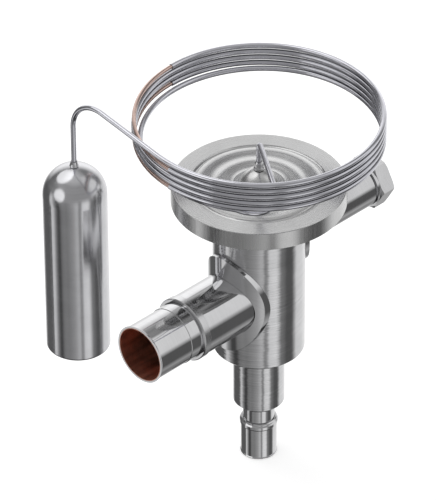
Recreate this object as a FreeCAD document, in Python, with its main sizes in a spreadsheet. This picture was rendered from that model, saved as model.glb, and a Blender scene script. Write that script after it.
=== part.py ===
"""Thermostatic expansion valve with two solder sockets, a coiled sensing line and a bulb.

All lengths are in millimetres. The valve's axis is Z, with the origin in the mouth of the
inlet socket at the bottom. The outlet points along +X, the adjusting spindle along -X, and
the bulb hangs on the -Y side.
"""
import FreeCAD, Part
import Sketcher
import math
import os
from FreeCAD import Placement, Rotation, Vector

# Driving dimensions. Each one is a cell of the document's sheet.
DIMENSIONS = {
    # clearances
    "braze_gap": 0.05,
    "lining_gap": 0.02,
    "running_gap": 0.05,
    "seat_gap": 0.05,
    "key_gap": 0.2,
    # valve body
    "body_radius": 13.25,
    "body_wall": 1.85,
    "inlet_reach": 20.1,
    "body_length": 49.8,
    "body_floor": 2.8,
    "body_bevel": 1.0,
    "ledge_drop": 5.7,
    "ledge_width": 0.5,
    "keyway_depth": 0.8,
    "keyway_width": 2.6,
    "keyway_rise": 5.7,
    # inlet side
    "inlet_radius": 7.45,
    "inlet_wall": 1.65,
    "neck_length": 5.4,
    "inlet_lap": 6.6,
    "inlet_floor": 2.4,
    "inlet_bevel": 1.3,
    "socket_shell": 0.23,
    "socket_bore": 4.78,
    "socket_depth": 8.0,
    "neck_step": 0.6,
    "neck_insert": 3.8,
    "socket_shoulder": 4.3,
    "bead_drop": 1.4,
    "bead_rise": 0.3,
    "bead_half": 0.9,
    "socket_round": 0.3,
    "mouth_flare": 0.15,
    "lining": 0.22,
    "stop_step": 0.6,
    # outlet side
    "outlet_rise": 21.1,
    "pipe_gap": 0.1,
    "pipe_wall": 0.7,
    "pipe_reach": 17.75,
    "lip_rise": 0.25,
    "lip_length": 2.5,
    "outlet_shell": 0.38,
    "outlet_bore": 7.98,
    "outlet_reach": 16.5,
    "outlet_depth": 12.0,
    "outlet_tail": 6.5,
    "outlet_bead_reach": 4.3,
    "outlet_step": 0.15,
    "saddle_wall": 1.3,
    "saddle_rise": 6.1,
    "saddle_side": 2.0,
    "saddle_lift": 0.5,
    # adjusting side
    "spindle_drop": 14.5,
    "tube_radius": 6.6,
    "tube_wall": 2.0,
    "tube_inset": 0.2,
    "tube_reach": 28.75,
    "tube_bevel": 0.5,
    "rear_saddle_side": 2.9,
    "rear_saddle_rise": 4.4,
    "gasket_rim": 0.4,
    "gasket_thick": 1.0,
    "cap_flats": 14.0,
    "cap_length": 4.8,
    "cap_bevel": 0.7,
    "cap_plug_length": 6.0,
    "plug_wall": 1.35,
    "cap_roof": 2.2,
    "spindle_radius": 1.9,
    "spindle_depth": 6.8,
    "spindle_bevel": 0.3,
    "slot_width": 0.8,
    "slot_depth": 1.4,
    "collar_gap": 0.6,
    "collar_thick": 1.4,
    "collar_inset": 1.6,
    "bush_length": 4.0,
    "ring_thick": 1.6,
    "ring_bevel": 0.3,
    "gland_length": 6.0,
    "gland_flats": 6.0,
    "gland_socket": 3.0,
    # crown gear and pinion
    "crown_gap": 1.1,
    "pinion_teeth": 8,
    "crown_teeth": 24,
    "crown_face": 1.6,
    "pinion_face": 1.5,
    "pinion_relief": 0.4,
    "tooth_thick": 0.86,
    "tooth_tip": 0.5,
    "tooth_root": 1.16,
    "tooth_sink": 0.2,
    "addendum": 0.62,
    "dedendum": 0.95,
    "crown_disc": 1.6,
    "crown_rim": 0.5,
    "hub_wall": 1.5,
    "hub_rise": 11.4,
    "clip_thick": 0.5,
    "clip_rise": 1.1,
    # guide, pin and cone
    "guide_floor": 1.6,
    "boss_radius": 4.4,
    "stem_radius": 2.5,
    "stem_rise": 1.2,
    "pin_radius": 1.2,
    "orifice_radius": 2.0,
    "orifice_bevel": 0.5,
    "seat_fit": 0.1,
    "seat_lift": 1.8,
    "cone_radius": 2.7,
    "cone_tip": 1.4,
    "cone_drop": 6.4,
    "cone_stub": 1.3,
    "cone_stub_length": 3.4,
    "cage_fit": 0.1,
    "cage_gap": 1.9,
    "cage_length": 7.8,
    "cage_wall": 0.5,
    "cage_slot": 1.2,
    "cage_margin": 1.0,
    # springs
    "seat_rise": 7.5,
    "seat_thick": 1.2,
    "spring_seat_radius": 8.6,
    "key_width": 2.2,
    "superheat_wire": 0.7,
    "superheat_radius": 6.9,
    "superheat_turns": 3.75,
    "cone_wire": 0.3,
    "cone_spring_radius": 1.9,
    "cone_turns": 3.5,
    # power head
    "head_radius": 25.0,
    "head_rise": 0.9,
    "lower_thick": 2.7,
    "upper_thick": 2.8,
    "head_sheet": 1.2,
    "head_bevel": 0.15,
    "neck_lap": 3.0,
    "neck_rim": 1.6,
    "diaphragm_thick": 0.2,
    "diaphragm_bend": 22.4,
    "chamber_margin": 5.2,
    "chamber_lip": 1.0,
    "chamber_slope": 2.0,
    "chamber_drop": 0.6,
    "pad_radius": 9.5,
    "pad_drop": 0.2,
    "pad_thick": 1.3,
    "pad_bevel": 0.4,
    "groove_inset": 0.8,
    "groove_half": 0.7,
    "groove_bend": 0.8,
    "wave_pitch": 2.7,
    "wave_bend": 5.5,
    "dome_radius": 5.6,
    "dome_sink": 0.6,
    "dome_hole": 1.3,
    "collar_lift": 0.25,
    "collar_root": 1.8,
    "collar_flange": 0.25,
    "collar_flange_thick": 0.6,
    "collar_height": 2.6,
    "collar_tip": 0.15,
    # sensing line
    "line_radius": 0.78,
    "core_radius": 0.6,
    "core_gap": 0.08,
    "core_seat": 1.5,
    "coil_radius": 35.0,
    "coil_rise": 24.26,
    "coil_pitch": 1.92,
    "coil_tilt": 0.74,
    "lead_slope": 0.164,
    "lead_blend": 6.0,
    "hook_radius": 10.07,
    "tail_inset": 1.68,
    "tail_lift": 0.86,
    "tail_sag": 2.7,
    "tail_bend": 9.48,
    "elbow_rise": 14.1,
    "elbow_radius": 2.2,
    "line_rise": 5.0,
    # bulb
    "bulb_radius": 9.25,
    "bulb_offset": 38.7,
    "bulb_length": 61.8,
    "bulb_drop": 19.96,
    "bulb_round": 0.8,
    "ferrule_radius": 1.35,
    "ferrule_height": 2.0,
    "ferrule_sink": 0.15,
    "ferrule_edge": 0.15,
}

# Sizes that follow from the driving ones. Each one is a cell with its formula.
DERIVED = {
    "body_foot": "inlet_foot + inlet_reach",
    "body_top": "body_foot + body_length",
    "body_bore": "body_radius - body_wall",
    "ledge_height": "spindle_height - ledge_drop",
    "keyway_foot": "spindle_height + keyway_rise",
    "inlet_foot": "socket_step + neck_length",
    "inlet_top": "body_foot + inlet_lap",
    "inlet_bore": "inlet_radius - inlet_wall",
    "socket_radius": "socket_bore + lining + lining_gap + socket_shell",
    "socket_neck": "socket_radius - neck_step",
    "socket_neck_top": "inlet_foot + neck_insert",
    "socket_step": "socket_depth + socket_shoulder",
    "socket_bead": "socket_step - bead_drop",
    "outlet_height": "body_foot + outlet_rise",
    "pipe_radius": "outlet_radius + pipe_gap + pipe_wall",
    "pipe_end": "body_radius + pipe_reach",
    "outlet_radius": "outlet_bore + lining + lining_gap + outlet_shell",
    "outlet_mouth": "pipe_end + outlet_reach",
    "outlet_bead": "pipe_end + outlet_bead_reach",
    "saddle_height": "pipe_radius + saddle_rise",
    "saddle_width": "pipe_radius + saddle_side",
    "spindle_height": "body_top - spindle_drop",
    "tube_bore": "tube_radius - tube_wall",
    "tube_inner_end": "body_bore + tube_inset",
    "tube_end": "body_radius + tube_reach",
    "rear_saddle_width": "tube_radius + rear_saddle_side",
    "rear_saddle_height": "tube_radius + rear_saddle_rise",
    "gasket_radius": "tube_radius + gasket_rim",
    "cap_hollow": "tube_bore - running_gap - plug_wall",
    "spindle_end": "tube_end - spindle_depth",
    "collar_radius": "tube_bore - collar_gap",
    "collar_place": "tube_inner_end + collar_inset",
    "tooth_module": "(body_bore - crown_gap - crown_rim - crown_face / 2) * 2 / crown_teeth",
    "hub_radius": "stem_radius + hub_wall",
    "hub_top": "spindle_height + hub_rise",
    "stem_top": "hub_top + stem_rise",
    "seat_radius": "inlet_bore - seat_fit",
    "seat_foot": "body_foot + seat_lift",
    "cone_foot": "seat_foot - cone_drop",
    "cage_radius": "inlet_bore - cage_fit",
    "cage_foot": "socket_neck_top + cage_gap",
    "cage_top": "cage_foot + cage_length",
    "seat_place": "spindle_height + seat_rise",
    "head_foot": "body_top + head_rise",
    "head_split": "head_foot + lower_thick",
    "head_top": "head_split + upper_thick",
    "neck_foot": "body_top - neck_lap",
    "chamber_radius": "head_radius - chamber_margin",
    "pad_top": "head_split - pad_drop",
    "groove_radius": "chamber_radius - groove_inset",
    "dome_centre": "head_top - dome_sink",
    "core_bore": "core_radius + core_gap",
    "coil_top": "head_top + coil_rise",
    "elbow_height": "head_top + elbow_rise",
    "line_foot": "head_top + line_rise",
    "bulb_foot": "bulb_top - bulb_length",
    "bulb_top": "coil_top - bulb_drop",
}

STEPS_IN_A_TURN = 32
LINE_SIDES = 8
SPRING_SIDES = 6
FULL_COIL_STEPS = 163
INSET_FIRST_STEP = 143
INSET_STEPS = 8
SAG_SHARE = 0.7
STRAINER_SLOTS = 4
WAYS = {
    "+Z": Rotation(),
    "+X": Rotation(Vector(0, 1, 0), 90),
    "-X": Rotation(Vector(0, 1, 0), -90),
}


class Size:
    """A length with its value in millimetres and the sheet formula that gives it."""

    def __init__(self, value, text):
        self.value = value
        self.text = text

    def __float__(self):
        return float(self.value)

    def __neg__(self):
        return Size(-self.value, f"(-1 * {self.text})")

    def __add__(self, other):
        return Size(self.value + float(other), f"({self.text} + {formula(other)})")

    def __sub__(self, other):
        return Size(self.value - float(other), f"({self.text} - {formula(other)})")

    def __mul__(self, other):
        return Size(self.value * float(other), f"({self.text} * {formula(other)})")

    def __truediv__(self, other):
        return Size(self.value / float(other), f"({self.text} / {formula(other)})")

    __radd__ = __add__
    __rmul__ = __mul__


def formula(length):
    """The sheet formula of a size, or a plain number as text."""
    return length.text if isinstance(length, Size) else repr(float(length))


def make_sheet(document):
    """Write driving and derived dimensions into the sheet and return them as named sizes."""
    sheet = document.addObject("Spreadsheet::Sheet", "sizes")
    cells = {name: str(value) for name, value in DIMENSIONS.items()}
    cells.update({name: f"={text}" for name, text in DERIVED.items()})
    for row, name in enumerate(cells, start=1):
        sheet.set(f"A{row}", name)
        sheet.setAlias(f"B{row}", name)
    for row, content in enumerate(cells.values(), start=1):
        sheet.set(f"B{row}", content)
    document.recompute()
    return {name: Size(float(sheet.get(name)), f"sizes.{name}") for name in cells}


doc = FreeCAD.newDocument("expansion_valve")
dim = type("Dimensions", (), make_sheet(doc))
nodes = []


def keep(thing):
    """Note an object as one of the valve's pieces."""
    nodes.append(thing)
    return thing


def bind(thing, **lengths):
    """Set properties of an object, and tie those that are sizes to the sheet."""
    for name, length in lengths.items():
        setattr(thing, name, float(length))
        if isinstance(length, Size):
            thing.setExpression(name, length.text)


def place(thing, base, way="+Z"):
    """Put an object's origin at a point, with its own Z pointing the given way."""
    thing.Placement = Placement(Vector(*[float(part) for part in base]), WAYS[way])
    for axis, part in zip("xyz", base):
        if isinstance(part, Size):
            thing.setExpression(f"Placement.Base.{axis}", part.text)


def arc_between(first, last, radius):
    """The arc from one corner to the next; a negative radius turns clockwise."""
    chord = last - first
    middle = (first + last) / 2
    rise = math.sqrt(radius * radius - chord.Length * chord.Length / 4)
    across = Vector(-chord.y, chord.x, 0).normalize()
    centre = middle + across * math.copysign(rise, radius)
    circle = Part.Circle(centre, Vector(0, 0, 1), abs(radius))
    ends = (first, last) if radius > 0 else (last, first)
    angles = [math.atan2(end.y - centre.y, end.x - centre.x) for end in ends]
    return Part.ArcOfCircle(circle, *angles)


def draw(sketch, outline):
    """Draw a closed outline. A third value makes the stretch up to that corner an arc."""
    corners = [Vector(float(spot[0]), float(spot[1]), 0) for spot in outline]
    count = len(outline)
    ends = []
    for index, corner in enumerate(corners):
        following = outline[(index + 1) % count]
        target = corners[(index + 1) % count]
        if len(following) == 3:
            sketch.addGeometry(arc_between(corner, target, float(following[2])))
            ends.append((1, 2) if float(following[2]) > 0 else (2, 1))
        else:
            sketch.addGeometry(Part.LineSegment(corner, target))
            ends.append((1, 2))
    for index in range(count):
        after = (index + 1) % count
        join = Sketcher.Constraint("Coincident", index, ends[index][1], after, ends[after][0])
        sketch.addConstraint(join)
    for index, spot in enumerate(outline):
        for kind, axis, length in (("DistanceX", -2, spot[0]), ("DistanceY", -1, spot[1])):
            if float(length) == 0:
                sketch.addConstraint(
                    Sketcher.Constraint("PointOnObject", index, ends[index][0], axis)
                )
                continue
            number = sketch.addConstraint(
                Sketcher.Constraint(kind, -1, 1, index, ends[index][0], float(length))
            )
            if isinstance(length, Size):
                sketch.setExpression(f"Constraints[{number}]", length.text)
        following = outline[(index + 1) % count]
        if len(following) == 3:
            number = sketch.addConstraint(
                Sketcher.Constraint("Radius", index, abs(float(following[2])))
            )
            if isinstance(following[2], Size) and float(following[2]) > 0:
                sketch.setExpression(f"Constraints[{number}]", following[2].text)
            elif isinstance(following[2], Size):
                sketch.setExpression(f"Constraints[{number}]", (-following[2]).text)


def new_sketch(body, name, plane, outline, lift=0):
    """A sketch on one of the body's own planes, lifted off it along its normal."""
    sketch = body.newObject("Sketcher::SketchObject", name)
    support = next(feature for feature in body.Origin.OriginFeatures if feature.Role == plane)
    sketch.AttachmentSupport = [(support, "")]
    sketch.MapMode = "FlatFace"
    sketch.AttachmentOffset = Placement(Vector(0, 0, float(lift)), Rotation())
    if isinstance(lift, Size):
        sketch.setExpression("AttachmentOffset.Base.z", lift.text)
    draw(sketch, outline)
    return sketch


def turned(label, outline, base=(0, 0, 0), way="+Z"):
    """A turned piece: its half section, as (radius, height) corners, goes round its axis."""
    body = doc.addObject("PartDesign::Body", label)
    section = new_sketch(body, f"{label}_section", "XZ_Plane", outline)
    turn = body.newObject("PartDesign::Revolution", f"{label}_turn")
    turn.Profile = section
    turn.ReferenceAxis = (section, ["V_Axis"])
    turn.Angle = 360
    section.Visibility = False
    place(body, base, way)
    return body


def toothed(body, plane, outline, lift, face, count):
    """Add one tooth to a turned blank and repeat it round the blank's axis."""
    section = new_sketch(body, f"{body.Label}_tooth_section", plane, outline, lift)
    tooth = body.newObject("PartDesign::Pad", f"{body.Label}_tooth")
    tooth.Profile = section
    bind(tooth, Length=face)
    ring = body.newObject("PartDesign::PolarPattern", f"{body.Label}_teeth")
    ring.Originals = [tooth]
    axis = next(feature for feature in body.Origin.OriginFeatures if feature.Role == "Z_Axis")
    ring.Axis = (axis, [""])
    ring.Angle = 360
    ring.Occurrences = int(float(count))
    ring.setExpression("Occurrences", count.text)
    body.Tip = ring


def cylinder(label, radius, height, base=(0, 0, 0), way="+Z"):
    """A round bar, from its base along the given way."""
    bar = doc.addObject("Part::Cylinder", label)
    bind(bar, Radius=radius, Height=height)
    place(bar, base, way)
    return bar


def block(label, length, width, height, base):
    """A rectangular bar with its lowest corner at the base."""
    bar = doc.addObject("Part::Box", label)
    bind(bar, Length=length, Width=width, Height=height)
    place(bar, base)
    return bar


def hexagon(label, flats, height, base, way):
    """A six-sided bar with a corner pointing along Y, by its width across flats."""
    bar = doc.addObject("Part::Prism", label)
    bar.Polygon = 6
    bind(bar, Circumradius=flats / math.sqrt(3), Height=height)
    place(bar, base, way)
    bar.Placement = bar.Placement.multiply(Placement(Vector(), Rotation(Vector(0, 0, 1), 90)))
    for axis, part in zip("xyz", base):
        if isinstance(part, Size):
            bar.setExpression(f"Placement.Base.{axis}", part.text)
    return bar


def combine(kind, label, first, *others):
    """One boolean after another: kind is Cut, Fuse or Common."""
    result = first
    for index, other in enumerate(others):
        last = index == len(others) - 1
        step = doc.addObject(f"Part::{kind}", label if last else f"{label}_step_{index + 1}")
        step.Base = result
        step.Tool = other
        result = step
    return result


def flat_face(corners):
    """A flat face with the given corners."""
    return Part.Face(Part.makePolygon([*corners, corners[0]]))


def mitred_tube(points, radius, sides):
    """A many-sided bar along straight runs that meet in mitres."""
    runs = [(after - before).normalize() for before, after in zip(points, points[1:])]
    rough = Vector(0, 0, 1) if abs(runs[0].z) < 0.9 else Vector(1, 0, 0)
    side = runs[0].cross(rough).normalize()
    up = runs[0].cross(side)
    turns = [2 * math.pi * corner / sides for corner in range(sides)]
    rings = [[points[0] + (side * math.cos(a) + up * math.sin(a)) * radius for a in turns]]
    for index, point in enumerate(points[1:]):
        run = runs[index]
        normal = run + runs[index + 1] if index + 1 < len(runs) else run
        slide = [(point - spot).dot(normal) / run.dot(normal) for spot in rings[-1]]
        rings.append([spot + run * way for spot, way in zip(rings[-1], slide)])
    faces = [flat_face(rings[0]), flat_face(rings[-1])]
    for low, high in zip(rings, rings[1:]):
        for corner in range(sides):
            after = (corner + 1) % sides
            faces.append(flat_face([low[corner], low[after], high[after], high[corner]]))
    bar = Part.makeSolid(Part.makeShell(faces))
    return bar if bar.Volume > 0 else bar.reversed()


def feature(label, shape):
    """Store a shape that no primitive or sketch gives."""
    thing = doc.addObject("Part::Feature", label)
    thing.Shape = shape
    return thing


def make_body():
    """The round valve body with its outlet hole, spindle hole and two keyways."""
    ledge_bore = dim.body_bore - dim.ledge_width
    seat_hole = dim.inlet_radius + dim.braze_gap
    blank = turned("body_blank", [
        (seat_hole, dim.body_foot),
        (dim.body_radius - dim.body_bevel, dim.body_foot),
        (dim.body_radius, dim.body_foot + dim.body_bevel),
        (dim.body_radius, dim.body_top),
        (dim.body_bore, dim.body_top),
        (dim.body_bore, dim.ledge_height),
        (ledge_bore, dim.ledge_height),
        (ledge_bore, dim.body_foot + dim.body_floor),
        (seat_hole, dim.body_foot + dim.body_floor),
    ])
    outlet = cylinder("outlet_hole", dim.pipe_radius + dim.braze_gap, dim.body_radius * 1.5,
                      (0, 0, dim.outlet_height), "+X")
    spindle = cylinder("spindle_hole", dim.tube_radius + dim.braze_gap, dim.body_radius * 1.5,
                       (0, 0, dim.spindle_height), "-X")
    reach = dim.body_bore + dim.keyway_depth
    keyway = block("keyways", dim.keyway_width, reach * 2, dim.body_top - dim.keyway_foot,
                   (dim.keyway_width * -0.5, -reach, dim.keyway_foot))
    keep(combine("Cut", "valve_body", blank, outlet, spindle, keyway))


def make_inlet():
    """The turned inlet housing and the two-metal solder socket below it."""
    inner_floor = dim.inlet_foot + dim.inlet_floor
    keep(turned("inlet_housing", [
        (dim.socket_neck + dim.braze_gap, dim.inlet_foot),
        (dim.inlet_radius - dim.inlet_bevel, dim.inlet_foot),
        (dim.inlet_radius, dim.inlet_foot + dim.inlet_bevel),
        (dim.inlet_radius, dim.inlet_top),
        (dim.inlet_bore, dim.inlet_top),
        (dim.inlet_bore, inner_floor),
        (dim.socket_neck + dim.braze_gap, inner_floor),
    ]))
    shell_bore = dim.socket_bore + dim.lining + dim.lining_gap
    neck_bore = dim.socket_neck - dim.lining * 2
    stop = dim.socket_depth
    keep(turned("inlet_socket", [
        (shell_bore, 0),
        (dim.socket_radius + dim.mouth_flare, 0),
        (dim.socket_radius + dim.mouth_flare, dim.mouth_flare),
        (dim.socket_radius, dim.mouth_flare * 3),
        (dim.socket_radius, dim.socket_bead - dim.bead_half),
        (dim.socket_radius + dim.bead_rise, dim.socket_bead - dim.bead_half / 2),
        (dim.socket_radius + dim.bead_rise, dim.socket_bead + dim.bead_half / 2),
        (dim.socket_radius, dim.socket_bead + dim.bead_half),
        (dim.socket_radius, dim.socket_step - dim.socket_round),
        (dim.socket_radius - dim.socket_round, dim.socket_step),
        (dim.socket_neck, dim.socket_step),
        (dim.socket_neck, dim.socket_neck_top),
        (neck_bore, dim.socket_neck_top),
        (neck_bore, stop + dim.stop_step),
        (shell_bore, stop + dim.stop_step),
    ]))
    keep(turned("inlet_socket_liner", [
        (dim.socket_bore, 0),
        (dim.socket_bore + dim.lining, 0),
        (dim.socket_bore + dim.lining, stop + dim.stop_step - dim.lining_gap),
        (neck_bore, stop + dim.stop_step - dim.lining_gap),
        (neck_bore, stop),
        (dim.socket_bore, stop),
    ]))


def make_outlet():
    """The outlet pipe, its saddle on the body and the two-metal solder socket in its end."""
    pipe_bore = dim.pipe_radius - dim.pipe_wall
    start = dim.body_bore
    length = dim.pipe_end - start
    keep(turned("outlet_pipe", [
        (pipe_bore, 0),
        (dim.pipe_radius, 0),
        (dim.pipe_radius, length - dim.lip_length),
        (dim.pipe_radius + dim.lip_rise, length - dim.lip_length + dim.lip_rise),
        (dim.pipe_radius + dim.lip_rise, length - dim.lip_rise),
        (dim.pipe_radius, length),
        (pipe_bore, length),
    ], (start, 0, dim.outlet_height), "+X"))
    shell_bore = dim.outlet_bore + dim.lining + dim.lining_gap
    first = dim.pipe_end - dim.outlet_tail
    reach = dim.outlet_mouth - first
    stop = reach - dim.outlet_depth
    bead = dim.outlet_bead - first
    keep(turned("outlet_socket", [
        (shell_bore, 0),
        (dim.outlet_radius, 0),
        (dim.outlet_radius, bead - dim.outlet_step),
        (dim.outlet_radius - dim.outlet_step, bead),
        (dim.outlet_radius - dim.outlet_step, reach - dim.mouth_flare * 4),
        (dim.outlet_radius + dim.mouth_flare, reach - dim.mouth_flare),
        (dim.outlet_radius + dim.mouth_flare, reach),
        (shell_bore, reach),
    ], (first, 0, dim.outlet_height), "+X"))
    keep(turned("outlet_socket_liner", [
        (dim.outlet_bore - dim.stop_step, stop - dim.stop_step * 2),
        (dim.outlet_bore + dim.lining, stop - dim.stop_step * 2),
        (dim.outlet_bore + dim.lining, reach),
        (dim.outlet_bore, reach),
        (dim.outlet_bore, stop),
        (dim.outlet_bore - dim.stop_step, stop),
    ], (first, 0, dim.outlet_height), "+X"))
    keep(saddle("outlet_saddle", dim.saddle_width, dim.saddle_height, dim.outlet_height,
                dim.saddle_lift, dim.pipe_radius, "+X"))


def saddle(label, half_width, half_height, height, lift, pipe_radius, way):
    """A sheet collar that follows the body's round wall and holds a pipe in its middle."""
    inner = dim.body_radius + dim.braze_gap
    outer = dim.body_radius + dim.saddle_wall
    foot = height + lift - half_height - dim.saddle_wall
    tall = (half_height + dim.saddle_wall) * 2
    sleeve = combine("Cut", f"{label}_sleeve",
                     cylinder(f"{label}_outside", outer, tall, (0, 0, foot)),
                     cylinder(f"{label}_inside", inner, tall, (0, 0, foot)))
    edge = doc.addObject("Part::Ellipse", f"{label}_edge")
    wide = float(half_height) >= float(half_width)
    bind(edge, MajorRadius=half_height if wide else half_width,
         MinorRadius=half_width if wide else half_height)
    place(edge, (0, 0, height + lift), way)
    patch = doc.addObject("Part::Extrusion", f"{label}_patch")
    patch.Base = edge
    patch.Dir = WAYS[way].multVec(Vector(0, 0, 1))
    patch.Solid = True
    bind(patch, LengthFwd=outer * 1.2)
    piece = combine("Common", f"{label}_piece", sleeve, patch)
    hole = cylinder(f"{label}_hole", pipe_radius + dim.braze_gap, outer * 1.2,
                    (0, 0, height), way)
    return combine("Cut", label, piece, hole)


def make_spindle_side():
    """The spindle's tube, its packing, the spindle with its pinion, and the cap on the end."""
    height = dim.spindle_height
    tube_length = dim.tube_end - dim.tube_inner_end
    keep(turned("spindle_housing", [
        (dim.tube_bore, 0),
        (dim.tube_radius, 0),
        (dim.tube_radius, tube_length - dim.tube_bevel),
        (dim.tube_radius - dim.tube_bevel, tube_length),
        (dim.tube_bore, tube_length),
    ], (-dim.tube_inner_end, 0, height), "-X"))
    keep(saddle("spindle_saddle", dim.rear_saddle_width, dim.rear_saddle_height,
                height, 0, dim.tube_radius, "-X"))

    bush_place = dim.collar_place + dim.collar_thick + dim.running_gap
    ring_place = bush_place + dim.bush_length + dim.seat_gap
    gland_place = ring_place + dim.ring_thick + dim.seat_gap
    shaft_hole = dim.spindle_radius + dim.running_gap
    plug_radius = dim.tube_bore - dim.running_gap
    keep(turned("spindle_bush", [
        (shaft_hole, 0),
        (plug_radius, 0),
        (plug_radius, dim.bush_length),
        (shaft_hole, dim.bush_length),
    ], (-bush_place, 0, height), "-X"))
    keep(turned("spindle_seal", [
        (shaft_hole, dim.ring_bevel),
        (shaft_hole + dim.ring_bevel, 0),
        (plug_radius - dim.ring_bevel, 0),
        (plug_radius, dim.ring_bevel),
        (plug_radius, dim.ring_thick - dim.ring_bevel),
        (plug_radius - dim.ring_bevel, dim.ring_thick),
        (shaft_hole + dim.ring_bevel, dim.ring_thick),
        (shaft_hole, dim.ring_thick - dim.ring_bevel),
    ], (-ring_place, 0, height), "-X"))
    gland_blank = turned("gland_blank", [
        (shaft_hole, 0),
        (plug_radius, 0),
        (plug_radius, dim.gland_length),
        (shaft_hole, dim.gland_length),
    ], (-gland_place, 0, height), "-X")
    socket_place = gland_place + dim.gland_length - dim.gland_socket
    gland_socket = hexagon("gland_socket_hex", dim.gland_flats, dim.gland_socket * 1.2,
                           (-socket_place, 0, height), "-X")
    keep(combine("Cut", "gland_nut", gland_blank, gland_socket))

    pitch_radius = dim.tooth_module * dim.pinion_teeth / 2
    ring_radius = dim.tooth_module * dim.crown_teeth / 2
    root = pitch_radius - dim.dedendum
    shaft_start = ring_radius - dim.pinion_face / 2
    shaft_length = dim.spindle_end - shaft_start
    collar = dim.collar_place - shaft_start
    spindle = turned("adjusting_spindle_bar", [
        (0, 0),
        (root, 0),
        (root, dim.pinion_face + dim.pinion_relief),
        (dim.spindle_radius, dim.pinion_face + dim.pinion_relief),
        (dim.spindle_radius, collar),
        (dim.collar_radius, collar),
        (dim.collar_radius, collar + dim.collar_thick),
        (dim.spindle_radius, collar + dim.collar_thick),
        (dim.spindle_radius, shaft_length - dim.spindle_bevel),
        (dim.spindle_radius - dim.spindle_bevel, shaft_length),
        (0, shaft_length),
    ], (-shaft_start, 0, height), "-X")
    half = dim.tooth_thick / 2
    tip = dim.tooth_tip / 2
    wide = dim.tooth_root / 2
    toothed(spindle, "XY_Plane", [
        (root - dim.tooth_sink, -wide),
        (pitch_radius, -half),
        (pitch_radius + dim.addendum, -tip),
        (pitch_radius + dim.addendum, tip),
        (pitch_radius, half),
        (root - dim.tooth_sink, wide),
    ], 0, dim.pinion_face, dim.pinion_teeth)
    slot = block("spindle_slot", dim.slot_depth * 2, dim.spindle_radius * 4, dim.slot_width,
                 (-dim.spindle_end - dim.slot_depth, dim.spindle_radius * -2,
                  height - dim.slot_width / 2))
    keep(combine("Cut", "adjusting_spindle", spindle, slot))


def make_cap():
    """The sealing washer and the six-sided cap with its hollow plug."""
    height = dim.spindle_height
    washer_place = dim.tube_end + dim.seat_gap
    keep(turned("cap_washer", [
        (dim.tube_bore + dim.key_gap, 0),
        (dim.gasket_radius, 0),
        (dim.gasket_radius, dim.gasket_thick),
        (dim.tube_bore + dim.key_gap, dim.gasket_thick),
    ], (-washer_place, 0, height), "-X"))
    head_place = washer_place + dim.gasket_thick + dim.seat_gap
    head = hexagon("cap_hexagon", dim.cap_flats, dim.cap_length, (-head_place, 0, height), "-X")
    corner = dim.cap_flats / math.sqrt(3)
    crown = turned("cap_crown", [
        (0, 0),
        (corner - dim.cap_bevel, 0),
        (corner, dim.cap_bevel / 2),
        (corner, dim.cap_length - dim.cap_bevel / 2),
        (corner - dim.cap_bevel, dim.cap_length),
        (0, dim.cap_length),
    ], (-head_place, 0, height), "-X")
    trimmed = combine("Common", "cap_head", head, crown)
    plug = cylinder("cap_plug", dim.tube_bore - dim.running_gap,
                    dim.cap_plug_length + dim.cap_roof,
                    (-head_place - dim.cap_roof, 0, height), "+X")
    hollow = cylinder("cap_hollow", dim.cap_hollow,
                      dim.cap_plug_length + dim.cap_length,
                      (-head_place - dim.cap_length + dim.cap_roof, 0, height), "+X")
    keep(combine("Cut", "seal_cap", combine("Fuse", "cap_solid", trimmed, plug), hollow))


def make_guide_and_gear():
    """The guide insert with its stem, and the crown gear that turns on it."""
    guide_top = dim.ledge_height + dim.guide_floor
    pitch_height = dim.spindle_height + dim.tooth_module * dim.pinion_teeth / 2
    gear_foot = pitch_height
    pin_hole = dim.pin_radius + dim.running_gap
    keep(turned("guide_insert", [
        (pin_hole, dim.ledge_height + dim.seat_gap),
        (dim.body_bore - dim.running_gap, dim.ledge_height + dim.seat_gap),
        (dim.body_bore - dim.running_gap, guide_top),
        (dim.boss_radius, guide_top),
        (dim.boss_radius, gear_foot - dim.seat_gap),
        (dim.stem_radius, gear_foot - dim.seat_gap),
        (dim.stem_radius, dim.stem_top),
        (pin_hole, dim.stem_top),
    ]))
    disc_foot = pitch_height + dim.dedendum
    disc_top = disc_foot + dim.crown_disc
    ring_radius = dim.tooth_module * dim.crown_teeth / 2
    outer = ring_radius + dim.crown_face / 2 + dim.crown_rim
    inner = ring_radius - dim.crown_face / 2
    gear = turned("crown_gear", [
        (dim.stem_radius + dim.running_gap, gear_foot),
        (dim.hub_radius, gear_foot),
        (dim.hub_radius, disc_foot),
        (outer, disc_foot),
        (outer, disc_top),
        (dim.hub_radius, disc_top),
        (dim.hub_radius, dim.hub_top),
        (dim.stem_radius + dim.running_gap, dim.hub_top),
    ])
    half = dim.tooth_thick / 2
    tip = dim.tooth_tip / 2
    wide = dim.tooth_root / 2
    toothed(gear, "YZ_Plane", [
        (-wide, disc_foot + dim.tooth_sink),
        (-half, pitch_height),
        (-tip, pitch_height - dim.addendum),
        (tip, pitch_height - dim.addendum),
        (half, pitch_height),
        (wide, disc_foot + dim.tooth_sink),
    ], inner, dim.crown_face, dim.crown_teeth)
    gear.Placement = Placement(Vector(), Rotation(Vector(0, 0, 1), 180 / float(dim.crown_teeth)))
    gear.setExpression("Placement.Rotation.Angle", f"180 / {dim.crown_teeth.text}")
    keep(gear)
    clip_foot = dim.hub_top + dim.seat_gap
    keep(turned("gear_clip", [
        (dim.stem_radius + dim.running_gap, clip_foot),
        (dim.stem_radius + dim.clip_rise, clip_foot),
        (dim.stem_radius + dim.clip_rise, clip_foot + dim.clip_thick),
        (dim.stem_radius + dim.running_gap, clip_foot + dim.clip_thick),
    ]))


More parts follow.
